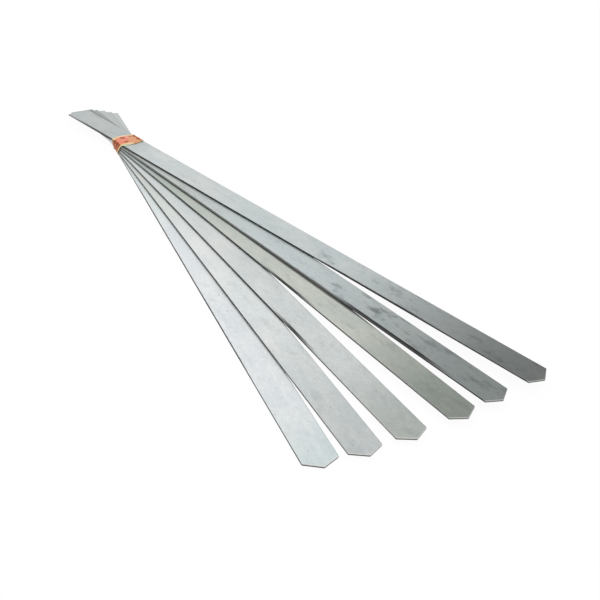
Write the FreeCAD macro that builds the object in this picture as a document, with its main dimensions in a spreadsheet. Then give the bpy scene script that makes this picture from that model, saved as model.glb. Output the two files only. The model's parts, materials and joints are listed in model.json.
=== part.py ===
import FreeCAD, Part
import math
import os
import Sketcher

# A set of flat steel kebab skewers, fanned out and held near their square ends by a turn of wrapping film.
# Millimetres, +Z up. The origin is on the film's underside, below the middle of the turn.
# +X runs along the top skewer towards its point, and the lower skewers fan out towards -Y.

doc = FreeCAD.newDocument("kebab_skewers")
sheet = doc.addObject("Spreadsheet::Sheet", "Sizes")

# One skewer is a plain strip with a roof-shaped point at one end and a square cut at the other.
blade_sizes = {
    "blade_width": 25.0,
    "blade_thickness": 1.5,
    "blade_length": 570.0,
    "point_length": 6.1,
    "tip_radius": 1.0,
    "shoulder_radius": 0.8,
    "edge_radius": 0.2,
}

# The skewers lie flat on each other, so each one can turn over the one below it.
# The tail is what the top skewer leaves behind the film's middle.
stack_sizes = {
    "layer_gap": 0.05,
    "tail_length": 86.4,
}

# From the top skewer down: its angle from the top skewer, then, as shares of the tail, how far behind the
# film's middle its centre line crosses the top skewer's, and how much of it lies behind that crossing.
fan_angles = [0.0, 5.11, 9.16, 14.43, 18.75, 22.59]
crossing_shares = [0.0, 0.098, 0.093, 0.075, 0.052, 0.014]
tail_shares = [1.0, 0.963, 0.981, 1.009, 1.030, 1.078]

# The film is one narrow strip, pulled round the stack, with its end lapped over the top.
film_sizes = {
    "film_width": 15.0,
    "film_thickness": 0.25,
    "film_room": 0.1,
    "film_side_room": 0.3,
    "lap_length": 15.0,
    "lap_slant": 1.5,
    "cut_overrun": 2.0,
}


def put_in_sheet(sizes, first_row):
    """Writes named sizes into the sheet, a name and a number to a row, and gives the next free row."""
    row = first_row
    for name, value in sizes.items():
        sheet.set(f"A{row}", name)
        sheet.set(f"B{row}", str(value))
        sheet.setAlias(f"B{row}", name)
        row += 1
    return row


next_row = 1
for group in (blade_sizes, stack_sizes, film_sizes):
    next_row = put_in_sheet(group, next_row)
for name, values in (
    ("fan_angle", fan_angles),
    ("crossing_share", crossing_shares),
    ("tail_share", tail_shares),
):
    named = {f"{name}_{number}": value for number, value in enumerate(values, start=1)}
    next_row = put_in_sheet(named, next_row)
doc.recompute()

blade_numbers = range(1, len(fan_angles) + 1)
layer_pitch = "(Sizes.blade_thickness + Sizes.layer_gap)"
lowest_blade = "(Sizes.film_thickness + Sizes.film_room)"


def origin_plane(body, role):
    """One of the body's own origin planes."""
    return next(plane for plane in body.Origin.OriginFeatures if plane.Role == role)


def bind(sketch, name, constraint, expression):
    """Adds a named dimension to a sketch and ties it to the sheet."""
    index = sketch.addConstraint(constraint)
    sketch.renameConstraint(index, name)
    sketch.setExpression(f"Constraints.{name}", expression)


def blade_outline(body):
    """The skewer seen from above, with its point at the sketch's origin and its square end towards -X."""
    width = sheet.blade_width
    length = sheet.blade_length
    point = sheet.point_length
    outline = body.newObject("Sketcher::SketchObject", f"{body.Name}_outline")
    outline.AttachmentSupport = [(origin_plane(body, "XY_Plane"), "")]
    outline.MapMode = "FlatFace"
    corners = [
        FreeCAD.Vector(0, 0, 0),
        FreeCAD.Vector(-point, -width / 2, 0),
        FreeCAD.Vector(-length, -width / 2, 0),
        FreeCAD.Vector(-length, width / 2, 0),
        FreeCAD.Vector(-point, width / 2, 0),
    ]
    for start, end in zip(corners, corners[1:] + corners[:1]):
        outline.addGeometry(Part.LineSegment(start, end), False)
    right_slope, right_side, square_end, left_side, left_slope = range(len(corners))
    chain = [right_slope, right_side, square_end, left_side, left_slope, right_slope]
    for before, after in zip(chain, chain[1:]):
        outline.addConstraint(Sketcher.Constraint("Coincident", before, 2, after, 1))
    outline.addConstraint(Sketcher.Constraint("Coincident", right_slope, 1, -1, 1))
    outline.addConstraint(Sketcher.Constraint("Horizontal", right_side))
    outline.addConstraint(Sketcher.Constraint("Horizontal", left_side))
    outline.addConstraint(Sketcher.Constraint("Vertical", right_slope, 2, left_slope, 1))
    outline.addConstraint(Sketcher.Constraint("Symmetric", square_end, 1, square_end, 2, -1))
    bind(
        outline,
        "width",
        Sketcher.Constraint("DistanceY", square_end, 1, square_end, 2, width),
        "Sizes.blade_width",
    )
    bind(
        outline,
        "length",
        Sketcher.Constraint("DistanceX", square_end, 1, -1, 1, length),
        "Sizes.blade_length",
    )
    bind(
        outline,
        "point",
        Sketcher.Constraint("DistanceX", right_side, 1, -1, 1, point),
        "Sizes.point_length",
    )
    return outline


def upright_edges(shape, low_x, high_x):
    """Names of the edges that stand straight up between two places along the skewer."""
    named = []
    for index, edge in enumerate(shape.Edges, start=1):
        box = edge.BoundBox
        if box.ZLength > box.DiagonalLength / 2 and low_x < edge.CenterOfMass.x < high_x:
            named.append(f"Edge{index}")
    return named


def level_edges(shape):
    """Names of the edges that lie in the top face or the bottom face."""
    faces = shape.BoundBox.ZMin, shape.BoundBox.ZMax
    named = []
    for index, edge in enumerate(shape.Edges, start=1):
        box = edge.BoundBox
        flat = box.ZLength < box.DiagonalLength / 2
        if flat and any(abs(box.Center.z - face) < sheet.edge_radius / 2 for face in faces):
            named.append(f"Edge{index}")
    return named


def rounding(body, name, base, edges, radius):
    """A fillet on the named edges, with its radius tied to the sheet."""
    fillet = body.newObject("PartDesign::Fillet", f"{body.Name}_{name}")
    fillet.Base = (base, edges)
    fillet.setExpression("Radius", radius)
    doc.recompute()
    return fillet


def make_blade(number):
    """One skewer: the outline padded to the strip's thickness, its point eased and its cut edges dulled."""
    body = doc.addObject("PartDesign::Body", f"skewer_{number}")
    body.Label = f"skewer_{number}"
    pad = body.newObject("PartDesign::Pad", f"{body.Name}_strip")
    outline = blade_outline(body)
    pad.Profile = outline
    pad.setExpression("Length", "Sizes.blade_thickness")
    doc.recompute()
    halfway = -sheet.point_length / 2
    tip = upright_edges(pad.Shape, halfway, sheet.point_length)
    eased_tip = rounding(body, "eased_tip", pad, tip, "Sizes.tip_radius")
    middle = -sheet.blade_length / 2
    shoulders = upright_edges(eased_tip.Shape, middle, halfway)
    eased = rounding(body, "eased_shoulders", eased_tip, shoulders, "Sizes.shoulder_radius")
    dulled = rounding(body, "dulled_edges", eased, level_edges(eased.Shape), "Sizes.edge_radius")
    body.Tip = dulled
    layers_below = len(fan_angles) - number
    height = f"{lowest_blade} + {layers_below} * {layer_pitch}"
    crossing = f"create(<<vector>>; -Sizes.tail_length * Sizes.crossing_share_{number}; 0; {height})"
    turn = f"create(<<rotation>>; create(<<vector>>; 0; 0; 1); -Sizes.fan_angle_{number})"
    to_point = f"Sizes.blade_length - Sizes.tail_length * Sizes.tail_share_{number}"
    reach = f"create(<<vector>>; {to_point}; 0; 0)"
    unturned = "create(<<rotation>>; create(<<vector>>; 0; 0; 1); 0)"
    at_crossing = f"create(<<placement>>; {crossing}; {turn})"
    to_tip = f"create(<<placement>>; {reach}; {unturned})"
    body.setExpression("Placement", f"{at_crossing} * {to_tip}")
    return body


def side_reach(number, station, side):
    """How far a skewer's edge lies from the centre line at a station, fanned out or closed, with room."""
    angle = math.radians(sheet.get(f"fan_angle_{number}"))
    crossing = sheet.tail_length * sheet.get(f"crossing_share_{number}")
    half_width = sheet.blade_width / 2
    drift = -side * (station + crossing) * math.tan(angle)
    fanned = drift + half_width / math.cos(angle)
    return max(fanned, half_width) + sheet.film_side_room


def wall_levels():
    """Heights at which the film can bend: the ceiling, each joint between skewers, and the floor."""
    pitch = sheet.blade_thickness + sheet.layer_gap
    floor = sheet.film_thickness
    lowest = floor + sheet.film_room
    joints = [lowest + pitch * below - sheet.layer_gap for below in reversed(blade_numbers[:-1])]
    ceiling = lowest + pitch * len(fan_angles) - sheet.layer_gap + sheet.film_room
    return [ceiling] + joints + [floor]


def stretched(reaches, levels):
    """The film is pulled tight, so hollows between the reaches are bridged by straight lines."""
    taut = []
    for here, level in enumerate(levels):
        spans = [reaches[here]]
        for upper in range(here):
            for lower in range(here + 1, len(levels)):
                share = (levels[upper] - level) / (levels[upper] - levels[lower])
                spans.append(reaches[upper] + share * (reaches[lower] - reaches[upper]))
        taut.append(max(spans))
    return taut


def side_profile(station, side, outside):
    """The film's inner or outer line down one side, as distances from the centre line."""
    blades = [side_reach(number, station, side) for number in blade_numbers]
    between = [max(pair) for pair in zip(blades, blades[1:])]
    levels = wall_levels()
    taut = stretched([blades[0]] + between + [blades[-1]], levels)
    if not outside:
        return list(zip(taut, levels))
    slopes = [
        abs(taut[i + 1] - taut[i]) / (levels[i] - levels[i + 1])
        for i in range(len(levels) - 1)
    ]
    steepest = [max(pair) for pair in zip(slopes[:1] + slopes, slopes + slopes[-1:])]
    film = sheet.film_thickness
    reaches = [reach + film * math.hypot(1, slope) for reach, slope in zip(taut, steepest)]
    heights = [levels[0] + film] + levels[1:-1] + [0]
    return list(zip(reaches, heights))


def section(station, outside):
    """A closed outline across the stack at one station, with its sides carried on past its top and bottom."""
    overrun = sheet.cut_overrun
    points = []
    for side in (1, -1):
        profile = side_profile(station, side, outside)
        top_reach, top = profile[0]
        low_reach, low = profile[-1]
        carried = [(top_reach, top + overrun)] + profile + [(low_reach, low - overrun)]
        corners = [FreeCAD.Vector(station, side * reach, height) for reach, height in carried]
        points += corners if side == 1 else corners[::-1]
    return Part.makePolygon(points + points[:1])


def ruled_block(outside):
    """The ruled walls between the film's far and near edges, closed by a level top and a level bottom."""
    half = sheet.film_width / 2
    walls = Part.makeLoft([section(-half, outside), section(half, outside)], True, True)
    heights = [height for reach, height in side_profile(half, 1, outside)]
    around = walls.BoundBox
    overrun = sheet.cut_overrun
    slab = Part.makeBox(
        around.XLength + 2 * overrun,
        around.YLength + 2 * overrun,
        max(heights) - min(heights),
        FreeCAD.Vector(around.XMin - overrun, around.YMin - overrun, min(heights)),
    )
    return walls.common(slab)


def make_film():
    """The turn of film: a ruled wall that hugs the fanned edges from its far edge to its near edge."""
    half = sheet.film_width / 2
    turn = ruled_block(True).cut(ruled_block(False))
    top = wall_levels()[0] + sheet.film_thickness
    far_edge = side_profile(-half, 1, True)[0][0]
    near_edge = side_profile(half, 1, True)[0][0]
    slant = sheet.lap_slant
    lap_outline = [
        FreeCAD.Vector(-half, far_edge, top),
        FreeCAD.Vector(half, near_edge, top),
        FreeCAD.Vector(half, near_edge - sheet.lap_length - slant, top),
        FreeCAD.Vector(-half, far_edge - sheet.lap_length + slant, top),
    ]
    lap_face = Part.Face(Part.makePolygon(lap_outline + lap_outline[:1]))
    lap = lap_face.extrude(FreeCAD.Vector(0, 0, sheet.film_thickness))
    film = doc.addObject("Part::Feature", "tie_band")
    film.Label = "tie_band"
    film.Shape = turn.fuse(lap).removeSplitter()
    film.Placement = FreeCAD.Placement()
    return film


pieces = [make_blade(number) for number in blade_numbers]
pieces.append(make_film())
doc.recompute()

# Nothing is written unless every feature was made and every piece is one sound solid.
for item in doc.Objects:
    if "Invalid" in item.State or "Error" in item.State:
        raise RuntimeError(f"{item.Name} could not be made: {item.State}")
for piece in pieces:
    shape = piece.Shape
    if shape.isNull() or not shape.isValid() or len(shape.Solids) != 1:
        raise RuntimeError(f"{piece.Label} is not one valid solid")

os.makedirs("parts", exist_ok=True)
for piece in pieces:
    piece.Shape.exportStep(f"parts/{piece.Label}.step")
    box = piece.Shape.BoundBox
    low = f"{box.XMin:.1f} {box.YMin:.1f} {box.ZMin:.2f}"
    high = f"{box.XMax:.1f} {box.YMax:.1f} {box.ZMax:.2f}"
    print(f"{piece.Label}: {piece.Shape.Volume:.1f} mm3, from {low} to {high}")
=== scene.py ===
import json
import math
from functools import reduce
from operator import add

import bpy
import numpy as np
from mathutils import Matrix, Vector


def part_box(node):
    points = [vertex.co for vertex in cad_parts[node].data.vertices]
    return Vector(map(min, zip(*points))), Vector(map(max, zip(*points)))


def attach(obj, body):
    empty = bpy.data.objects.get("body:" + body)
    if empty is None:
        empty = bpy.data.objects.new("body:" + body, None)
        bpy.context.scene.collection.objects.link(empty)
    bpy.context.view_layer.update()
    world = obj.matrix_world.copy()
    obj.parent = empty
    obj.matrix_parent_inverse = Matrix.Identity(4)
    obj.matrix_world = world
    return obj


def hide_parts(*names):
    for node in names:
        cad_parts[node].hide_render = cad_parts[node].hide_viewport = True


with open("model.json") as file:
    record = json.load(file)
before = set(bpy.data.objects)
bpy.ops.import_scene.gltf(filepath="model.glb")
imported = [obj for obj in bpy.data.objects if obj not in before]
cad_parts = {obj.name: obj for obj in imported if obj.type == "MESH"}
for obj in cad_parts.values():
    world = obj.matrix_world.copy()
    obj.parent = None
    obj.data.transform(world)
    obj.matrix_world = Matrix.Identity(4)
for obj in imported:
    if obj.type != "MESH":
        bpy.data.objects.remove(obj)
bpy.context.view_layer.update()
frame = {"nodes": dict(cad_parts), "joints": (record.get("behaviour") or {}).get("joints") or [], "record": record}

# Six flat steel skewers, fanned out and tied near their square ends by two turns of crumpled wrapping film.
# Metres, +X along the top skewer towards its point, +Z up.
mm = 0.001


class Sock:
    # one socket of a node tree; arithmetic on it adds Math nodes
    def __init__(self, graph, socket):
        self.graph = graph
        self.socket = socket

    def __add__(self, other):
        return self.graph.maths("ADD", self, other)

    def __sub__(self, other):
        return self.graph.maths("SUBTRACT", self, other)

    def __rsub__(self, other):
        return self.graph.maths("SUBTRACT", other, self)

    def __mul__(self, other):
        return self.graph.maths("MULTIPLY", self, other)

    def __abs__(self):
        return self.graph.maths("ABSOLUTE", self)

    __radd__ = __add__
    __rmul__ = __mul__


class Graph:
    # the node tree of a material or a world
    def __init__(self, owner):
        owner.use_nodes = True
        self.tree = owner.node_tree
        self.tree.nodes.clear()

    def node(self, kind, settings=None, inputs=None, output=0):
        # adds a node, gives it its settings, then fills or links its inputs
        made = self.tree.nodes.new(f"ShaderNode{kind}")
        for name, value in (settings or {}).items():
            setattr(made, name, value)
        for name, value in (inputs or {}).items():
            if isinstance(value, Sock):
                self.tree.links.new(value.socket, made.inputs[name])
            else:
                made.inputs[name].default_value = value
        return Sock(self, made.outputs[output]) if made.outputs else None

    def maths(self, operation, *values):
        return self.node("Math", {"operation": operation}, dict(enumerate(values)))

    def axes(self, vector):
        # the three parts of a vector
        first = self.node("SeparateXYZ", inputs={0: vector})
        return [Sock(self, part) for part in first.socket.node.outputs]

    def noise(self, vector, scale, detail, roughness, stretch=(1, 1, 1), shift=(0, 0, 0)):
        # noise from 0 to 1 with features about 1 / scale across, stretched and shifted
        placed = self.node("Mapping", None, {"Vector": vector, "Scale": stretch, "Location": shift})
        words = {"Vector": placed, "Scale": scale, "Detail": detail, "Roughness": roughness}
        return self.node("TexNoise", None, words)

    def ramp(self, value, start, end, low=0.0, high=1.0):
        # a smooth step from low, at start, to high, at end
        words = {"Value": value, "From Min": start, "From Max": end, "To Min": low, "To Max": high}
        return self.node("MapRange", {"interpolation_type": "SMOOTHSTEP"}, words)

    def blend(self, share, first, second, kind="MIX"):
        # the first colour or grey turned into the second by a share; three numbers are a colour
        first, second = (value + (1,) if isinstance(value, tuple) else value for value in (first, second))
        settings = {"data_type": "RGBA", "blend_type": kind}
        return self.node("Mix", settings, {0: share, 6: first, 7: second}, output=2)

    def tinted(self, first, second):
        # one colour times another, or times a grey
        return self.blend(1.0, first, second, "MULTIPLY")


def newMaterial(name):
    material = bpy.data.materials.new(name)
    return material, Graph(material)


def finishMaterial(graph, inputs):
    # one Principled shader, with the given inputs, to the output
    shader = graph.node("BsdfPrincipled", None, inputs)
    graph.node("OutputMaterial", None, {"Surface": shader})


def unit(vectors):
    # each vector divided by its length
    return vectors / np.linalg.norm(vectors, axis=-1, keepdims=True)


def aimed(data, place, right, up, forward):
    # puts a camera or a lamp into the scene, looking along forward
    made = bpy.data.objects.new(data.name, data)
    turned = Matrix(np.column_stack([right, up, -forward]).tolist()).to_4x4()
    made.matrix_world = Matrix.Translation(place) @ turned
    bpy.context.scene.collection.objects.link(made)
    return made


camera = {
    "place": (0.6536, -0.4955, 0.3519),
    "turn": 129.004,  # degrees from +X to the line of sight, seen from above
    "dip": 32.072,  # degrees that it looks down
    "roll": 8.793,
    "lens": 50.894,
    "sensor": 36.0,
    "clipStart": 0.01,
}


# The camera stands where the photograph was taken from.
def makeCamera():
    # forward is the direction with the given turn and dip; right and up are the level pair rolled about it
    turn, dip, roll = (math.radians(camera[name]) for name in ("turn", "dip", "roll"))
    forward = np.array([math.cos(turn) * math.cos(dip), math.sin(turn) * math.cos(dip), -math.sin(dip)])
    level = np.array([math.sin(turn), -math.cos(turn), 0.0])
    upright = np.cross(level, forward)
    right = level * math.cos(roll) + upright * math.sin(roll)
    up = upright * math.cos(roll) - level * math.sin(roll)
    data = bpy.data.cameras.new("camera")
    data.lens = camera["lens"]
    data.sensor_width = camera["sensor"]
    data.clip_start = camera["clipStart"]
    bpy.context.scene.camera = aimed(data, camera["place"], right, up, forward)


makeCamera()
print("camera placed")


# Each skewer's own place: its angle, and where its centre line crosses the top skewer's, from its joint.
skewerNames = [f"skewer_{number}" for number in range(1, 7)]
bodyOf = {node: body for body, nodes in frame["record"]["behaviour"]["bodies"].items() for node in nodes}
jointOf = {joint["child"]: joint for joint in frame["joints"]}


def skewerPlace(name):
    # the turn about +Z, the crossing on the top skewer's centre line, and the underside and top heights
    joint = jointOf.get(bodyOf[name])
    turn = -math.radians(max(joint["range_deg"])) if joint else 0.0
    crossing = joint["pos_m"][0] if joint else 0.0
    low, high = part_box(name)
    return {"turn": turn, "crossing": crossing, "low": low.z, "high": high.z}


def meshPoints(node):
    # the mesh's points as rows of x, y and z
    mesh = frame["nodes"][node].data
    flat = np.empty(len(mesh.vertices) * 3)
    mesh.vertices.foreach_get("co", flat)
    return flat.reshape(-1, 3)


places = {name: skewerPlace(name) for name in skewerNames}
halfWidth = meshPoints(skewerNames[0])[:, 1].max() / mm


def pointOf(name):
    # the skewer's point: the furthest that its mesh reaches from the crossing, along its own centre line
    place = places[name]
    along = np.array([math.cos(place["turn"]), math.sin(place["turn"])])
    start = np.array([place["crossing"], 0.0])
    reach = ((meshPoints(name)[:, :2] - start) @ along).max()
    return start + along * reach


# The steel: rolled strip with a dull satin skin, cloudy stains, fine lines along it and sheared edges.
# Lengths are in mm. near, middle and far are its tones from the point to the square end: its own colour with
# painted reflection, which makes each skewer's point end darker. fade is how far from the point near has turned
# into middle. stains is how strong the stains are near the point and beyond it, and slide is how far they are
# moved away from it. edgeNear and edge are the sheared sides' tones, at the point and beyond it: dark steel with
# painted light and contact shade. edgeLitByFilm and edgeLitTail are painted light added to them by the film and
# behind it. shadowBand is how wide a band of painted shadow lies beside the skewer above. Each of edgeShades is
# a stretch of painted shade along the left edge: its width, and its start and end from the point.
skewerLooks = {
    "skewer_1": {
        "near": (0.18, 0.192, 0.185),
        "middle": (0.572, 0.618, 0.62),
        "far": (0.585, 0.622, 0.618),
        "fade": 220,
        "stains": (0.85, 1.05),
        "slide": 0,
        "edgeNear": 0.07,
        "edge": 0.03,
        "edgeLitByFilm": 0.05,
        "edgeLitTail": 0.085,
        "shadowBand": 0,
        "edgeShades": ((0.75, 95, 205), (1.2, 475, 545)),
    },
    "skewer_2": {
        "near": (0.25, 0.275, 0.265),
        "middle": (0.55, 0.598, 0.604),
        "far": (0.50, 0.535, 0.515),
        "fade": 220,
        "stains": (0.95, 1.55),
        "slide": 35,
        "edgeNear": 0.05,
        "edge": 0.33,
        "edgeLitByFilm": 0.05,
        "edgeLitTail": 0.1,
        "shadowBand": 0,
        "edgeShades": ((2.5, 50, 150), (0.75, 150, 275), (0.6, 275, 460)),
    },
    "skewer_3": {
        "near": (0.268, 0.294, 0.264),
        "middle": (0.548, 0.576, 0.532),
        "far": (0.425, 0.478, 0.437),
        "fade": 140,
        "stains": (0.45, 0.7),
        "slide": 0,
        "edgeNear": 0.14,
        "edge": 0.09,
        "edgeLitByFilm": 0.16,
        "edgeLitTail": 0.42,
        "shadowBand": 2.6,
        "edgeShades": ((1.6, 160, 212),),
    },
    "skewer_4": {
        "near": (0.43, 0.456, 0.433),
        "middle": (0.64, 0.668, 0.66),
        "far": (0.60, 0.643, 0.635),
        "fade": 105,
        "stains": (0.4, 0.4),
        "slide": 0,
        "edgeNear": 0.26,
        "edge": 0.10,
        "edgeLitByFilm": 0.19,
        "edgeLitTail": 0.55,
        "shadowBand": 0.5,
        "edgeShades": ((1.9, 112, 150),),
    },
    "skewer_5": {
        "near": (0.528, 0.559, 0.558),
        "middle": (0.724, 0.751, 0.745),
        "far": (0.59, 0.625, 0.605),
        "fade": 170,
        "stains": (0.4, 0.35),
        "slide": 0,
        "edgeNear": 0.22,
        "edge": 0.05,
        "edgeLitByFilm": 0.20,
        "edgeLitTail": 0.6,
        "shadowBand": 0.3,
        "edgeShades": (),
    },
    "skewer_6": {
        "near": (0.625, 0.685, 0.687),
        "middle": (0.735, 0.761, 0.773),
        "far": (0.655, 0.705, 0.705),
        "fade": 65,
        "stains": (0.15, 0.2),
        "slide": 0,
        "edgeNear": 0.08,
        "edge": 0.02,
        "edgeLitByFilm": 0.16,
        "edgeLitTail": 0.6,
        "shadowBand": 0,
        "edgeShades": ((0.3, 100, 390),),
    },
}
# Its patterns, over millimetres along, across and up: tear is the torn part of the sheared sides.
steelNoises = {
    "lines": {"scale": 1.0, "detail": 3, "roughness": 0.6, "stretch": (0.02, 3.2, 3.2)},
    "bands": {"scale": 1.0, "detail": 2, "roughness": 0.5, "stretch": (0.004, 0.30, 0.30)},
    "clouds": {"scale": 0.045, "detail": 4, "roughness": 0.6, "stretch": (0.6, 1, 1)},
    "mottle": {"scale": 0.30, "detail": 5, "roughness": 0.68, "stretch": (0.7, 1, 1)},
    "grain": {"scale": 0.8, "detail": 3, "roughness": 0.7, "stretch": (0.7, 1, 1)},
    "tear": {"scale": 1.0, "detail": 2, "roughness": 0.6, "stretch": (2.2, 2.2, 0.25)},
    "stains": {"scale": 0.11, "detail": 5, "roughness": 0.68, "stretch": (0.5, 1, 1)},
    "specks": {"scale": 0.50, "detail": 2, "roughness": 0.5, "stretch": (1, 1, 1)},
}
# How far apart the skewers' patterns are read, and the layers that stains and specks are read from.
patternPlaces = {"step": (130.0, 47.0, 11.0), "stains": 5.0, "specks": 9.0}
# What the patterns add to the skin's shade, to the roughness and to the relief.
steelShares = {
    "shade": {"clouds": 0.24, "lines": 0.10, "bands": 0.08},
    "roughness": {"mottle": 0.14, "clouds": 0.10, "stains": 0.12, "specks": 0.2, "side": 0.15},
    "relief": {"lines": 0.5, "mottle": 0.35, "grain": 0.25, "stains": -0.2, "tornSide": 1.2},
}
# In the marks below a run is where something starts and has its full strength. Places along a skewer are
# minus the mm from its point, and the left edge is the one at minus half its width.
skinMarks = {
    "tailRun": (-250, -400),  # from middle to far
    "tintRun": (0.35, 0.68),  # the clouds' values from the cool tint to the warm one
    "coolTint": (0.985, 1.0, 1.01),
    "warmTint": (1.012, 1.0, 0.985),
    "unevenRun": (-260, -185),  # from the smooth steel by the film to the uneven
    "smoothStains": 0.25,  # share of the stains on the smooth steel
    "steadyMottle": 0.4,  # share of the mottling that is the same everywhere
    "stainRun": (-60, -130),  # from the first strength of the stains to the second
    "stainCut": (0.50, 0.70),  # the pattern's values from no stain to a full one
    "stainDark": 0.32,
    "speckCut": (0.715, 0.765),
    "speckDark": 0.45,
    "patternMean": 0.5,
    "shade": 0.805,  # the level shade, and how deep the mottling and the grain are
    "mottle": 0.35,
    "grain": 0.24,
    "dullRun": (-435, -490),  # duller behind the film
    "dull": 0.23,
    "rightEdgeShadeRun": (0.9, 0.25),  # mm from the right edge: a thin painted dark line there stands for the edge's dark reflection
    "rightEdgeShade": 0.22,
    "cutNormal": (0.8987, 0.4386),  # unit normal of the point's two cuts, along and across
    "burrRun": (0.8, 0.35),  # mm from those cuts, where metal is turned up
    "burrWave": 0.5,  # mm that the grain moves it
    "burrShare": 0.6,
    "burrGain": 1.7,  # how much lighter than the skin it is
    "burrLimit": 0.8,
    "roughness": 0.27,
    "metallic": 0.92,
    "bump": 0.35,
    "bumpHeight": 0.03,
}
# The stretches of painted shade along the left edges.
edgeShadeMarks = {
    "fade": 20,  # half the mm over which a stretch starts or ends
    "wave": 0.6,  # mm that the mottle moves its edge
    "soft": 0.7,
    "tone": 0.06,
    "side": 0.28,  # how much darker each mm of its width makes the side below it
}
# The band of painted shadow beside the skewer above.
shadowBandMarks = {
    "widenRun": (-330, -150),  # from its least share of its width to all of it
    "least": 0.4,
    "wave": 0.8,  # mm that the mottle moves its edge
    "outerRun": (0.9, -0.1),  # mm beyond its width
    "innerRun": (-1.5, -0.5),  # mm beyond the skewer above
    "startRun": (-90, -130),
    "filmRun": (-462, -400),  # from its share by the film to all of it
    "byFilm": 0.2,
    "tone": 0.36,
}
# The painted shadow on the tails beside the top skewer's right edge; its places are in mm on the top skewer.
topShadowMarks = {
    "centre": 14.2,
    "startRun": (-8, -30),
    "widenRun": (-30, -90),
    "widths": (3.0, 5.2),
    "dark": 0.60,
}
# The sheared sides and the bright rim above them: worn metal with a painted highlight.
sideMarks = {
    "nearRun": (-150, -10),  # from edge to edgeNear
    "filmRun": (-330, -450),
    "leftRun": (1, -1),  # mm across, from the right side to the left
    "topTailRun": (-508, -565),  # the top skewer's side is painted lighter towards its end
    "tailRun": (-468, -474),  # the others' are painted lighter just behind the film
    "tailEndRun": (-513, -493),
    "shearRun": (0.62, 0.86),  # shares of the thickness, from the torn part to the smooth one
    "shearWave": 0.35,
    "torn": 0.6,
    "tear": 0.6,
    "smooth": 0.5,
    "freshRun": (-9.0, -5.4),  # a fresh cut at the point
    "cutTone": (0.40, 0.40, 0.39),
    "cutDark": (0.12, 0.12, 0.115),
    "sideRun": (0.80, 0.45),  # upright parts of the normal, from the top to the side
    "rimRun": (0.995, 0.90),
    "rimEndRun": (0.30, 0.60),
    "rimHighlight": (0.80, 0.81, 0.80),
    "rimShare": 0.2,  # how strongly the bright rim shows, worn metal with a painted highlight, and how much more at the fresh cut
    "rimFresh": 0.5,
}


def onSkewer(graph, coordinates, name):
    # millimetres from a skewer's point: along it, across it, and up from its underside
    x, y = pointOf(name)
    turn, low = places[name]["turn"], places[name]["low"]
    words = {"Location": (x, y, low), "Rotation": (0, 0, turn), "Scale": (mm, mm, mm)}
    return graph.node("Mapping", {"vector_type": "TEXTURE"}, {"Vector": coordinates, **words})


def steelPatterns(graph, local, along, look, number):
    # the noises, read at a place of its own for each skewer, with stains and specks cut out of theirs
    shift = tuple(number * step for step in patternPlaces["step"])
    slide = look["slide"] * steelNoises["stains"]["stretch"][0]
    shifts = {
        "stains": (shift[1] + slide, shift[0], patternPlaces["stains"]),
        "specks": (shift[2], shift[0], patternPlaces["specks"]),
    }
    patterns = {
        kind: graph.noise(local, **words, shift=shifts.get(kind, shift))
        for kind, words in steelNoises.items()
    }
    uneven = graph.ramp(along, *skinMarks["unevenRun"], skinMarks["smoothStains"], 1)
    strength = graph.ramp(along, *skinMarks["stainRun"], *look["stains"])
    patterns["uneven"] = uneven
    patterns["stains"] = graph.ramp(patterns["stains"], *skinMarks["stainCut"]) * strength * uneven
    patterns["specks"] = graph.ramp(patterns["specks"], *skinMarks["speckCut"])
    return patterns


def addShares(use, patterns, *start):
    # the start, if there is one, plus each pattern times its share for this use
    parts = (patterns[kind] * share for kind, share in steelShares[use].items())
    return reduce(add, [*start, *parts])


def skinTone(graph, along, patterns, look):
    # near blends into middle and that into far, its own colour with painted reflection, times a cool or warm tint
    tone = graph.blend(graph.ramp(along, -look["fade"], 0), look["middle"], look["near"])
    tone = graph.blend(graph.ramp(along, *skinMarks["tailRun"]), tone, look["far"])
    warmth = graph.ramp(patterns["clouds"], *skinMarks["tintRun"])
    return graph.tinted(tone, graph.blend(warmth, skinMarks["coolTint"], skinMarks["warmTint"]))


def skinShade(patterns):
    # a level shade plus mottling, clouds, lines and bands, times what stains and specks leave of it
    mottle, grain = (
        (patterns[kind] - skinMarks["patternMean"]) * skinMarks[kind] for kind in ("mottle", "grain")
    )
    steady = skinMarks["steadyMottle"]
    uneven = steady + patterns["uneven"] * (1 - steady)
    shade = addShares("shade", patterns, skinMarks["shade"] + (mottle + grain) * uneven)
    shade = shade * (1 - patterns["stains"] * skinMarks["stainDark"])
    return shade * (1 - patterns["specks"] * skinMarks["speckDark"])


def paintedTopShadow(graph, coordinates):
    # how dark the painted shadow makes the tails beside the top skewer's: most on the line, none at its width from
    # it
    widen, start, widths = (
        [value * mm for value in topShadowMarks[run]] for run in ("widenRun", "startRun", "widths")
    )
    fromTop, beside = graph.axes(coordinates)[:2]
    distance = abs(beside - topShadowMarks["centre"] * mm)
    width = graph.ramp(fromTop, *widen, *widths)
    return graph.ramp(distance, width, 0) * graph.ramp(fromTop, *start) * topShadowMarks["dark"]


def paintedShadowBand(graph, along, above, mottle, full):
    # how strong the painted shadow is beside the skewer above: all from under its left edge to the band's wavy
    # outer edge
    width = graph.ramp(along, *shadowBandMarks["widenRun"], full * shadowBandMarks["least"], full)
    outside = graph.axes(above)[1] * -1 - halfWidth
    bandShadow = graph.ramp(outside - width + mottle * shadowBandMarks["wave"], *shadowBandMarks["outerRun"])
    bandShadow = bandShadow * graph.ramp(outside, *shadowBandMarks["innerRun"]) * graph.ramp(along, *shadowBandMarks["startRun"])
    return bandShadow * graph.ramp(along, *shadowBandMarks["filmRun"], shadowBandMarks["byFilm"], 1)


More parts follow.
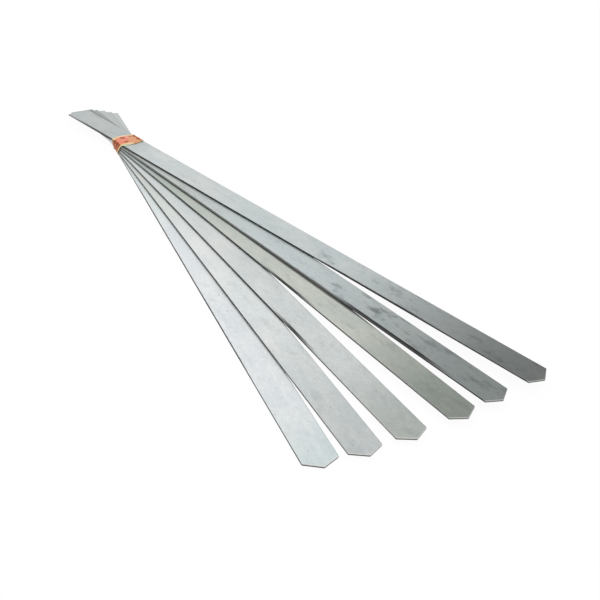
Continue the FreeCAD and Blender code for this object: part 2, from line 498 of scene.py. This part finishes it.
def paintedEdgeShade(graph, shade, along, across, mottle, edgeShades):
    # the shade with painted shade on stretches along the left edge, and how much darker the side below them is:
    # in each stretch the top is painted dark outside a wavy line at the stretch's width from the left edge
    sideDark = 0
    fade = edgeShadeMarks["fade"]
    for width, start, end in edgeShades:
        line = width - halfWidth
        stretch = graph.ramp(along, fade - start, -fade - start)
        stretch = stretch * graph.ramp(along, -fade - end, fade - end)
        edgeShaded = graph.ramp(across + mottle * edgeShadeMarks["wave"], line + edgeShadeMarks["soft"], line) * stretch
        shade = shade * (1 - edgeShaded * (1 - edgeShadeMarks["tone"]))
        sideDark = sideDark + stretch * (width * edgeShadeMarks["side"])
    return shade, sideDark


def withBurr(graph, skin, along, across, grain, near):
    # the skin with the burr along the point's two cuts, bright where its metal is turned up
    normalAlong, normalAcross = skinMarks["cutNormal"]
    fromCut = along * -normalAlong - abs(across) * normalAcross
    burr = graph.ramp(fromCut + grain * skinMarks["burrWave"], *skinMarks["burrRun"])
    bright = tuple(min(skinMarks["burrLimit"], value * skinMarks["burrGain"]) for value in near)
    return graph.blend(burr * skinMarks["burrShare"], skin, bright)


def sideTone(graph, along, across, look, underTop, sideDark):
    # how light the sheared sides are, painted light and shade included: edge blends into edgeNear at the point,
    # edgeLitByFilm is painted light added by the film, the painted edge shade takes its share away, and
    # edgeLitTail is painted light added on the left behind the film
    onLeft = graph.ramp(across, *sideMarks["leftRun"])
    tone = graph.ramp(along, *sideMarks["nearRun"], look["edge"], look["edgeNear"])
    tone = tone + graph.ramp(along, *sideMarks["filmRun"], 0, look["edgeLitByFilm"])
    tone = tone * (1 - onLeft * sideDark)
    behind = graph.ramp(along, *sideMarks["tailRun" if underTop else "topTailRun"], 0, look["edgeLitTail"])
    if underTop:
        behind = behind * graph.ramp(along, *sideMarks["tailEndRun"])
    return tone + behind * onLeft


def sideColour(graph, height, place, patterns, tone, fresh):
    # the sheared side: its tone times a torn lower part and a smooth upper one, or a fresh cut by the point
    shear = (share * (place["high"] - place["low"]) / mm for share in sideMarks["shearRun"])
    smoothPart = graph.ramp(height + patterns["mottle"] * sideMarks["shearWave"], *shear)
    rough = sideMarks["torn"] + patterns["tear"] * sideMarks["tear"] + smoothPart * sideMarks["smooth"]
    cut = graph.blend(smoothPart, sideMarks["cutDark"], sideMarks["cutTone"])
    return graph.blend(fresh, tone * rough, cut)


def bladeSteel(name, number):
    look, place = skewerLooks[name], places[name]
    underTop = place["turn"] != 0
    material, graph = newMaterial(f"rolledSteel{number}")
    coordinates = graph.node("TexCoord", output="Object")
    upright = abs(graph.axes(graph.node("TexCoord", output="Normal"))[2])
    local = onSkewer(graph, coordinates, name)
    along, across, height = graph.axes(local)
    patterns = steelPatterns(graph, local, along, look, number)
    mottle = patterns["mottle"]

    # the flat faces
    shade = skinShade(patterns)
    # painted shadow of the top skewer's right edge on the tails
    if underTop:
        shade = shade * (1 - paintedTopShadow(graph, coordinates))
    shade = shade * (1 - graph.ramp(along, *skinMarks["dullRun"], 0, skinMarks["dull"]))
    # a thin painted dark reflection along the right edge
    rightEdgeShadeRun = (halfWidth - inside for inside in skinMarks["rightEdgeShadeRun"])
    shade = shade * (1 - graph.ramp(across, *rightEdgeShadeRun) * skinMarks["rightEdgeShade"])
    # painted shade along stretches of the left edge
    shade, sideDark = paintedEdgeShade(graph, shade, along, across, mottle, look["edgeShades"])
    # painted shadow of the skewer above beside its left edge
    if look["shadowBand"]:
        above = onSkewer(graph, coordinates, skewerNames[number - 2])
        bandShadow = paintedShadowBand(graph, along, above, mottle, look["shadowBand"])
        shade = shade * (1 - bandShadow * (1 - shadowBandMarks["tone"]))
    skin = graph.tinted(skinTone(graph, along, patterns, look), shade)
    skin = withBurr(graph, skin, along, across, patterns["grain"], look["near"])

    # the sheared sides, and a thin bright rim on the top corner: worn metal with a painted highlight
    fresh = graph.ramp(along, *sideMarks["freshRun"])
    tone = sideTone(graph, along, across, look, underTop, sideDark)
    side = sideColour(graph, height, place, patterns, tone, fresh)
    onSide = graph.ramp(upright, *sideMarks["sideRun"])
    onRimHighlight = graph.ramp(upright, *sideMarks["rimRun"]) * graph.ramp(upright, *sideMarks["rimEndRun"])
    onRimHighlight = onRimHighlight * (sideMarks["rimShare"] + fresh * sideMarks["rimFresh"])
    colour = graph.blend(onSide, skin, side)
    colour = graph.blend(onRimHighlight, colour, sideMarks["rimHighlight"])

    patterns["side"] = onSide
    patterns["tornSide"] = patterns["tear"] * onSide
    roughness = addShares("roughness", patterns, skinMarks["roughness"])
    words = {"Strength": skinMarks["bump"], "Distance": skinMarks["bumpHeight"] * mm}
    bump = graph.node("Bump", None, {**words, "Height": addShares("relief", patterns)})
    words = {"Base Color": colour, "Metallic": skinMarks["metallic"], "Roughness": roughness}
    finishMaterial(graph, {**words, "Normal": bump})
    return material


for number, name in enumerate(skewerNames, start=1):
    steel = bladeSteel(name, number)
    for slot in frame["nodes"][name].material_slots:
        slot.material = steel
print("steel on the skewers")


# The film: one strip of thin printed film pulled twice round the stack, so it is taut at the corners and
# crumpled between them. Lengths are in mm. Round the stack is counted from the middle of the top, over the
# left corner at minus half a skewer's width and on down the left side.
film = {
    # how far the strip reaches to the far and the near side: pairs of round the stack and reach
    "farReach": (
        *((-26, 7.0), (-23, 4.6), (-21.5, 3.8), (-18.6, 6.2), (-16.5, 8.8), (-12.5, 9.9)),
        *((-7.7, 11.2), (-3, 11.9), (2, 11.5), (8, 10.6), (12.5, 8.2), (15, 7.3)),
    ),
    "nearReach": (
        *((-23, 6.6), (-12.5, 6.6), (-8, 7.2), (-5, 8.3), (0, 9.8)),
        *((3, 10.6), (7, 10.2), (12.5, 8.8), (15, 7.3)),
    ),
    "farMargin": ((-15, 0.2), (-13.5, 3.6), (-11, 4.4), (-9, 2.9), (-2, 2.5), (3, 1.9), (9, 0.8)),
    "nearMargin": ((-23, 1.3), (-12.5, 1.5), (-7, 1.8), (-3, 2.5), (1, 2.8), (4, 1.2), (9, 0.7)),
    "firstMargin": 1.5,  # the first turn is all margin
    "slip": ((-12.5, 0.0), (-9, 3.4), (-3, 3.6), (2, 2.0), (8, 0.8)),  # how far that turn slips out
    "slipWander": 0.25,  # how far the outer turn wanders, and in how many waves
    "slipWaves": 3,
    "halfSpread": 0.3,  # how much the strip's half width wanders
    "spreadWaves": 4,
    "innerHalfWidth": 6.9,
    "turns": 2.30,
    "outerRun": (1.0, 1.3),  # turns from its start, from the first turn to the outer one
    "startShare": 0.86,  # where round the stack the strip's hidden end lies, from the low right corner
    "layerStep": 0.08,  # how much further out each turn lies
    "bend": 0.15,  # radius of the film over a corner
    "inset": 0.05,  # how far the taut line's corners lie inside the stack's top and underside
    "sideGap": 0.18,
    "tautRun": (0.3, 3.5),  # from the left corner, where the film is taut, to where it is loose
    "tautShare": 0.25,
    "betweenRun": (0.62, 1.0),  # shares of the reach, from the loose film to its edge
    "edgeShare": 0.12,
    "underGain": 1.6,  # how soon the film is taut as it turns to the underside
    "swell": 0.55,  # how far the film stands off the steel between its edges
    "sideSwell": 0.55,  # share of that on the sides
    "leastRise": 0.02,
    "crumple": 0.42,  # how far the creases stand out
    "crumpleMean": 0.35,
    "ripple": 0.25,  # how far the two long edges lift, in waves
    "rippleRate": 3,
    "rippleWaves": 3,
    "ripplePower": 6,
    "endLift": 0.6,  # how far the strip's outer end lifts, over its last share of a turn
    "endTurns": 0.05,
    "toneMean": 0.42,  # the creases' height that leaves the tone as it is; lower ones get painted shade, higher ones a painted highlight
    "toneShare": 0.9,
    "toneLimits": (-1.2, 1),
    "sideShadeRun": (-0.3, 0.8),  # from the left corner to where the side is, which gets painted shade
    "thickness": 0.05,
    "stepsAlong": 640,
    "stepsAcross": 48,
    "stationReach": 13.5,
    "stations": 44,
    "directions": 1440,
    "firstDirection": 1e-4,  # radians past straight down, so no direction is square to a flat side
    "normalSteps": 6,
    "seed": 11,
}
# Its creases: wave trains, each turned by a step of fan and a random spread, in radians, and a little bent.
creaseWaves = {
    "rate": 0.85,
    "trains": 4,
    "spread": 0.9,
    "fan": 0.6,
    "bend": 1.1,
    "bendRates": (0.31, 0.47),
    "phases": 6,
}
# Its plain folds: two ends, each round the stack and across the strip, then width, height and tone;
# a tone below nought is painted shade in a hollow and one above is a painted highlight on a ridge.
filmFolds = [
    ((-3.2, -6.6), (-1.4, -6.1), 1.6, -0.30, -1.9),
    ((-7.0, 3.5), (-3.0, 3.0), 1.0, -0.30, -1.3),
    ((1.2, -6.8), (3.2, -4.8), 1.3, 0.45, 1.4),
    ((-10.0, -2.6), (-5.0, -0.6), 1.7, 0.45, 0.35),
    ((-13.6, -8.6), (-12.2, -4.8), 1.8, -0.15, -0.75),
    ((-13.6, -3.2), (-13.0, 0.6), 1.2, -0.25, -0.8),
    ((5.0, -6.2), (12.4, -5.0), 0.9, -0.25, -0.65),
    ((8.8, 2.2), (13.2, 3.2), 0.9, -0.30, -0.95),
    ((3.0, 0.8), (9.0, 1.6), 1.2, 0.40, 0.1),
    ((2.6, 9.8), (12.0, 9.3), 0.8, -0.20, -0.7),
    ((-2.0, -0.6), (4.5, 0.4), 0.7, -0.20, -0.25),
    ((-13.6, 1.0), (-17.4, -1.0), 0.75, -0.25, -1.1),
    ((-13.4, 3.8), (-18.5, 2.2), 0.65, -0.25, -0.9),
    ((-14.0, -4.6), (-21.0, -2.0), 0.9, -0.20, -0.5),
    ((-13.8, -1.2), (-18.5, -0.2), 0.7, 0.30, 0.3),
]


def waves(values, count, rng, low=0.6, high=3.2, gain=1.4):
    # a smooth random curve from about -1 to 1: a sum of sines whose strengths fall as their rates rise
    total = np.zeros_like(values)
    weight = 0.0
    for order in range(1, count + 1):
        rate = rng.uniform(low, high) * order
        total += np.sin(2 * math.pi * (rate * values + rng.random())) / order
        weight += 1 / order
    return total / weight * gain


def smooth(values, start, end):
    # a smooth step from 0, at start, to 1, at end: 3s^2 - 2s^3
    share = np.clip((values - start) / (end - start), 0, 1)
    return share * share * (3 - 2 * share)


def creases(along, across, rng):
    # crumpled film: the sharp crests of a few crossing and slightly bent wave trains, 1 - |sin|, averaged
    along, across = along * creaseWaves["rate"], across * creaseWaves["rate"]
    spread, phases = creaseWaves["spread"], creaseWaves["phases"]
    alongBend, acrossBend = creaseWaves["bendRates"]
    total = np.zeros(np.broadcast(along, across).shape)
    for order in range(creaseWaves["trains"]):
        turn = rng.uniform(-spread, spread) + order * creaseWaves["fan"]
        bent = np.sin(along * alongBend + rng.uniform(0, phases)) * np.cos(across * acrossBend)
        waved = along * math.cos(turn) + across * math.sin(turn) + creaseWaves["bend"] * bent
        total += 1 - np.abs(np.sin(waved + rng.uniform(0, phases)))
    return total / creaseWaves["trains"]


def folds(around, across):
    # the height and the tone of the listed folds: each is exp(-(distance / width)^2) strong beside its line
    height = np.zeros(np.broadcast(around, across).shape)
    tone = np.zeros_like(height)
    for (startAround, startAcross), (endAround, endAcross), width, rise, shade in filmFolds:
        run = np.array([endAround - startAround, endAcross - startAcross])
        share = ((around - startAround) * run[0] + (across - startAcross) * run[1]) / (run @ run)
        share = np.clip(share, 0, 1)
        distance = np.hypot(around - startAround - share * run[0], across - startAcross - share * run[1])
        profile = np.exp(-((distance / width) ** 2))
        height += rise * profile
        tone += shade * profile
    return height, np.clip(tone, *film["toneLimits"])


def stackLoops(stations):
    # the taut line round the stack at each station: for every direction the furthest corner of the skewers,
    # fanned or closed, pushed out by the bend's radius; then spaced evenly by length from the low right
    # corner. The third column is how far round the stack each place lies.
    turns = -np.array([places[name]["turn"] for name in skewerNames])
    crossings = np.array([places[name]["crossing"] for name in skewerNames])
    lows = np.array([places[name]["low"] for name in skewerNames]) / mm + film["inset"]
    highs = np.array([places[name]["high"] for name in skewerNames]) / mm - film["inset"]
    corners = []
    for side in (1, -1):
        drift = -side * (stations[:, None] - crossings / mm) * np.tan(turns)
        reach = np.maximum(drift + halfWidth / np.cos(turns), halfWidth) + film["sideGap"] - film["bend"]
        for heights in (lows, highs):
            corners.append(np.stack([side * reach, np.broadcast_to(heights, reach.shape)], axis=-1))
    corners = np.concatenate(corners, axis=1)
    angles = -math.pi / 2 + film["firstDirection"] + np.linspace(0, 2 * math.pi, film["directions"])
    outward = np.stack([np.cos(angles), np.sin(angles)], axis=-1)
    furthest = np.argmax(corners @ outward.T, axis=1)
    loops = np.take_along_axis(corners, furthest[..., None], axis=1) + film["bend"] * outward
    topLeft = np.argmin(np.abs(angles - 3 * math.pi / 4))
    even = np.linspace(0, 1, film["directions"])
    spaced = np.empty(loops.shape[:2] + (3,))
    for row, loop in enumerate(loops):
        run = np.concatenate([[0], np.cumsum(np.linalg.norm(np.diff(loop, axis=0), axis=1))])
        for axis in (0, 1):
            spaced[row, :, axis] = np.interp(even * run[-1], run, loop[:, axis])
        spaced[row, :, 2] = run[topLeft] - even * run[-1] - halfWidth
    return spaced


def loopNormals(loops):
    # outward directions: the chord over a few steps each way, turned by a right angle
    steps = film["normalSteps"]
    chords = np.roll(loops[:, :-1, :2], -steps, axis=1) - np.roll(loops[:, :-1, :2], steps, axis=1)
    chords = unit(np.concatenate([chords, chords[:, :1]], axis=1))
    return np.stack([chords[..., 1], -chords[..., 0]], axis=-1)


def readTable(table, rows, columns, inside=1.001):
    # bilinear reading of a table at fractional rows and columns
    rows = np.clip(rows, 0, table.shape[0] - inside)
    columns = np.clip(columns, 0, table.shape[1] - inside)
    row, column = rows.astype(int), columns.astype(int)
    down, right = (rows - row)[..., None], (columns - column)[..., None]
    upper = table[row, column] * (1 - right) + table[row, column + 1] * right
    lower = table[row + 1, column] * (1 - right) + table[row + 1, column + 1] * right
    return upper * (1 - down) + lower * down


def gridMesh(name, points, uv, extras):
    # a mesh from a grid of points, with a UV for each point and named values for each point
    rows, columns = points.shape[:2]
    index = np.arange(rows * columns).reshape(rows, columns)
    faces = np.stack([index[:-1, :-1], index[1:, :-1], index[1:, 1:], index[:-1, 1:]], axis=-1)
    mesh = bpy.data.meshes.new(name)
    mesh.from_pydata(points.reshape(-1, 3).tolist(), [], faces.reshape(-1, 4).tolist())
    layer = mesh.uv_layers.new(name="filmMap")
    corner = np.empty(len(mesh.loops), dtype=np.int32)
    mesh.loops.foreach_get("vertex_index", corner)
    layer.data.foreach_set("uv", uv.reshape(-1, 2)[corner].ravel())
    for label, values in extras.items():
        values = np.broadcast_to(values, points.shape[:2])
        mesh.attributes.new(label, "FLOAT", "POINT").data.foreach_set("value", values.ravel())
    mesh.shade_smooth()
    made = bpy.data.objects.new(name, mesh)
    bpy.context.scene.collection.objects.link(made)
    return made


def fromPairs(name, at):
    # straight lines between the pairs of a table in film
    return np.interp(at, *np.array(film[name]).T)


def makeFilm():
    # the taut loop round the stack at each place, plus its outward direction times the lift
    rng = np.random.default_rng(film["seed"])
    reach = film["stationReach"]
    loops = stackLoops(np.linspace(-reach, reach, film["stations"]))
    normals = loopNormals(loops)

    # the strip: turns wound along it, and -1 to 1 across it from the far edge to the near one
    wound = np.linspace(0, film["turns"], film["stepsAlong"])[:, None]
    side = np.linspace(-1, 1, film["stepsAcross"])[None, :]
    outer = smooth(wound, *film["outerRun"])
    columns = np.mod(wound + film["startShare"], 1.0) * (film["directions"] - 1)
    middle = loops[film["stations"] // 2, :, 2]
    roundMiddle = np.interp(columns, np.arange(film["directions"]), middle)
    wander = film["slipWander"] * waves(wound, film["slipWaves"], rng)
    slip = fromPairs("slip", roundMiddle) * (1 - outer) + wander * outer
    spread = film["halfSpread"] * waves(wound, film["spreadWaves"], rng)
    far, near = (
        film["innerHalfWidth"] * (1 - outer) + (fromPairs(name, roundMiddle) + spread) * outer
        for name in ("farReach", "nearReach")
    )
    half = np.where(side < 0, far, near)
    x = slip + side * half
    rows = (x + reach) / (2 * reach) * (film["stations"] - 1)
    columns = np.broadcast_to(columns, x.shape)
    base = readTable(loops, rows, columns)
    around = base[..., 2]
    outward = unit(readTable(normals, rows, columns))

    # the film stands off the steel between its edges, and is taut over the left corners and underneath
    top = np.clip(outward[..., 1], 0, 1)
    under = np.clip(-outward[..., 1] * film["underGain"], 0, 1)
    left = -halfWidth
    taut, edgeShare, sideSwell = film["tautShare"], film["edgeShare"], film["sideSwell"]
    taut = taut + (1 - taut) * smooth(np.abs(around - left), *film["tautRun"])
    farShare, nearShare = -x / fromPairs("farReach", roundMiddle), x / fromPairs("nearReach", roundMiddle)
    between = 1 - smooth(np.maximum(farShare, nearShare), *film["betweenRun"])
    loose = taut * (1 - under) * (edgeShare + (1 - edgeShare) * between)
    foldHeight, foldTone = folds(around, x)
    crumple = creases(around, x, rng)
    rise = film["swell"] * (sideSwell + (1 - sideSwell) * top) + foldHeight
    rise = rise + film["crumple"] * (crumple - film["crumpleMean"])
    lift = loose * np.clip(rise, film["leastRise"], None) + film["layerStep"] * wound
    edge = np.abs(side) ** film["ripplePower"] * outer * (1 - under)
    ripple = 0.5 + 0.5 * waves(wound * film["rippleRate"], film["rippleWaves"], rng)
    lift += edge * film["ripple"] * taut * ripple
    toEnd = np.clip((wound - film["turns"] + film["endTurns"]) / film["endTurns"], 0, 1)
    lift += (1 - under) * film["endLift"] * toEnd**2
    section = base[..., :2] + outward * lift[..., None]
    points = np.concatenate([x[..., None], section], axis=-1)

    # how far a place lies inside the strip's unprinted margin
    fromEdge = half * (1 - np.abs(side))
    margin = np.where(side < 0, fromPairs("farMargin", roundMiddle), fromPairs("nearMargin", roundMiddle))
    margin = (margin - fromEdge) * outer + film["firstMargin"] * (1 - outer)
    extras = {
        # painted shading of the folds and creases: dark in hollows, light on ridges
        "foldShading": foldTone + (crumple - film["toneMean"]) * film["toneShare"],
        "outerTurn": outer,
        "margin": margin,
        # painted shade on the film's left side, which faces away from the light
        "beside": smooth(left - around, *film["sideShadeRun"]) * (1 - under),
    }
    piece = gridMesh("wrapping_film", points * mm, np.stack([around, x], axis=-1) * mm, extras)
    shell = piece.modifiers.new("thickness", "SOLIDIFY")
    shell.thickness = film["thickness"] * mm
    return piece


filmLook = {
    "print": (0.755, 0.235, 0.135),
    "light": (0.69, 0.305, 0.145),
    "lightRun": (1.0, 6.0),  # round the stack, from print to light
    "lightSlant": 0.4,
    "lightWave": 6,
    # a painted highlight on ridges
    "ridgeHighlight": (0.87, 0.40, 0.385),
    "ridgeHighlightRun": (0.65, 1.2),
    "ridgeHighlightWave": 0.5,
    # painted shade in hollows, less on the margin
    "hollowShade": (0.31, 0.058, 0.010),
    "hollowShadeRun": (-0.05, -0.75),
    "hollowShadeWave": 0.3,
    "hollowShadeOnMargin": 0.8,  # how much less of it the margin has
    "margin": (0.84, 0.635, 0.355),
    "marginRun": (-0.35, 0.35),
    "marginWave": 1.8,
    # the margin painted darker in its hollows
    "tan": (0.42, 0.28, 0.105),
    "marginHollowShadeRun": (-0.05, -0.55),
    "under": (0.64, 0.64, 0.40),
    # painted shade on the left side
    "sideShadeTint": (0.54, 0.52, 0.40),
    "sideShadeOnMargin": 0.6,
    "shade": 0.84,
    "fineShade": 0.30,
    "roughness": 0.32,
    "fineRoughness": 0.16,
    "fineRelief": 0.6,
    "patchRelief": 0.4,
    "bump": 0.5,
    "bumpHeight": 0.12,
    "gloss": 0.25,
}
filmNoises = {
    "patches": {"scale": 0.18, "detail": 3, "roughness": 0.55, "stretch": (0.6, 1.5, 1)},
    "tints": {"scale": 0.12, "detail": 2, "roughness": 0.5, "shift": (40, 9, 0)},
    "fine": {"scale": 1.3, "detail": 3, "roughness": 0.6, "stretch": (0.4, 1.7, 1), "shift": (7, 70, 0)},
}


def filmMaterial():
    # printed tones with a painted highlight on ridges, then the pale margin, painted shade in hollows and on the
    # left side, and a fine unevenness
    material, graph = newMaterial("wrappingFilm")
    uv = graph.node("UVMap", {"uv_map": "filmMap"})
    flat = graph.node("Mapping", {"vector_type": "TEXTURE"}, {"Vector": uv, "Scale": (mm, mm, mm)})
    around, across = graph.axes(flat)[:2]
    tone, outer, margin, beside = (
        graph.node("Attribute", {"attribute_name": label}, output="Fac")
        for label in ("foldShading", "outerTurn", "margin", "beside")
    )
    patches, tints, fine = (graph.noise(flat, **words) for words in filmNoises.values())
    slanted = around + across * filmLook["lightSlant"] + tints * filmLook["lightWave"]
    ink = graph.blend(graph.ramp(slanted, *filmLook["lightRun"]), filmLook["print"], filmLook["light"])
    # painted highlight on ridges
    raised = graph.ramp(tone + patches * filmLook["ridgeHighlightWave"], *filmLook["ridgeHighlightRun"])
    ink = graph.blend(raised, ink, filmLook["ridgeHighlight"])
    wave = filmLook["marginWave"]
    onMargin = graph.ramp(margin + patches * wave - wave / 2, *filmLook["marginRun"])
    # the margin painted darker in hollows
    plain = graph.blend(graph.ramp(tone, *filmLook["marginHollowShadeRun"]), filmLook["margin"], filmLook["tan"])
    plain = graph.blend(outer, filmLook["under"], plain)
    colour = graph.blend(onMargin, ink, plain)
    # painted shade in hollows
    hollow = graph.ramp(tone + patches * filmLook["hollowShadeWave"], *filmLook["hollowShadeRun"])
    colour = graph.blend(hollow * (1 - onMargin * filmLook["hollowShadeOnMargin"]), colour, filmLook["hollowShade"])
    # painted shade on the left side
    shaded = graph.tinted(colour, filmLook["sideShadeTint"])
    colour = graph.blend(beside * (1 - onMargin * filmLook["sideShadeOnMargin"]), colour, shaded)
    colour = graph.tinted(colour, filmLook["shade"] + fine * filmLook["fineShade"])
    relief = fine * filmLook["fineRelief"] + patches * filmLook["patchRelief"]
    words = {"Strength": filmLook["bump"], "Distance": filmLook["bumpHeight"] * mm, "Height": relief}
    bump = graph.node("Bump", None, words)
    roughness = filmLook["roughness"] + fine * filmLook["fineRoughness"]
    words = {"Base Color": colour, "Roughness": roughness, "Normal": bump}
    finishMaterial(graph, {**words, "Specular IOR Level": filmLook["gloss"]})
    return material


filmPiece = makeFilm()
filmPiece.data.materials.append(filmMaterial())
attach(filmPiece, bodyOf["tie_band"])
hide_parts("tie_band")
print("film wound")


# A pale floor and soft surroundings: white behind the object, darker to its right, and one large lamp.
studio = {
    "floorSize": 12.0,
    "floorTone": (0.98, 0.98, 0.98, 1),
    "floorGlow": 0.94,  # share of plain white that the camera and gloss see in the floor
    "brightSide": 1.12,
    "darkSide": 0.63,
    "darkTurn": 92.0,  # degrees from +X, where the surroundings are darkest
    "softTurn": 34.0,
    "softRun": (-0.35, 0.1),  # from the cosine of softTurn, where they darken
    "backTurn": 225.0,  # degrees from +X, where they are duller again
    "backRun": (0.2, 0.7),
    "backDull": 0.7,
    "sweep": (0.06, 0.22),  # heights of a ray between which white turns into the surroundings
    "keyPower": 3.5,
    "keySize": 2.2,
    "keyPlace": (-0.55, -0.75, 1.25),
    "keyAim": (0.15, -0.02, 0.0),
}


def makeFloor():
    # a flat square: lit as a diffuse surface, and nearly plain white to the camera, gloss and glass
    half = studio["floorSize"] / 2
    mesh = bpy.data.meshes.new("floor")
    corners = [(-half, -half, 0), (half, -half, 0), (half, half, 0), (-half, half, 0)]
    mesh.from_pydata(corners, [], [(0, 1, 2, 3)])
    floor = bpy.data.objects.new("floor", mesh)
    bpy.context.scene.collection.objects.link(floor)
    material, graph = newMaterial("paleFloor")
    lit = graph.node("BsdfDiffuse", None, {"Color": studio["floorTone"]})
    white = graph.node("Emission", None, {"Color": (1, 1, 1, 1), "Strength": 1.0})
    rays = ("Is Camera Ray", "Is Glossy Ray", "Is Transmission Ray")
    seen, glossy, through = (graph.node("LightPath", output=ray) for ray in rays)
    seen = graph.maths("MAXIMUM", graph.maths("MAXIMUM", seen, glossy), through)
    mixed = graph.node("MixShader", None, {0: seen * studio["floorGlow"], 1: lit, 2: white})
    graph.node("OutputMaterial", None, {"Surface": mixed})
    mesh.materials.append(material)


def makeWorld():
    # bright turning dark towards darkTurn, times duller towards backTurn, and white low down for every ray
    world = bpy.data.worlds.new("surroundings")
    bpy.context.scene.world = world
    graph = Graph(world)
    ray = graph.node("TexCoord", output="Generated")
    turns = (math.radians(studio[name]) for name in ("darkTurn", "backTurn"))
    toDark, toBack = (
        graph.node(
            "VectorMath",
            {"operation": "DOT_PRODUCT"},
            {0: ray, 1: (math.cos(turn), math.sin(turn), 0)},
            output="Value",
        )
        for turn in turns
    )
    soft = math.cos(math.radians(studio["softTurn"]))
    darken = (soft + step for step in studio["softRun"])
    level = graph.ramp(toDark, *darken, studio["brightSide"], studio["darkSide"])
    level = level * graph.ramp(toBack, *studio["backRun"], 1, studio["backDull"])
    level = 1 + (level - 1) * graph.ramp(graph.axes(ray)[2], *studio["sweep"])
    background = graph.node("Background", None, {"Color": level, "Strength": 1.0})
    graph.node("OutputWorld", None, {"Surface": background})


def makeKey():
    data = bpy.data.lights.new("softbox", "AREA")
    data.shape = "DISK"
    data.size = studio["keySize"]
    data.energy = studio["keyPower"]
    aim = unit(np.array(studio["keyAim"]) - studio["keyPlace"])
    side = unit(np.cross(aim, [0, 0, 1]))
    aimed(data, studio["keyPlace"], side, np.cross(side, aim), aim)


makeFloor()
makeWorld()
makeKey()
bpy.context.scene.view_settings.view_transform = "Standard"
print("floor, surroundings and lamp set")
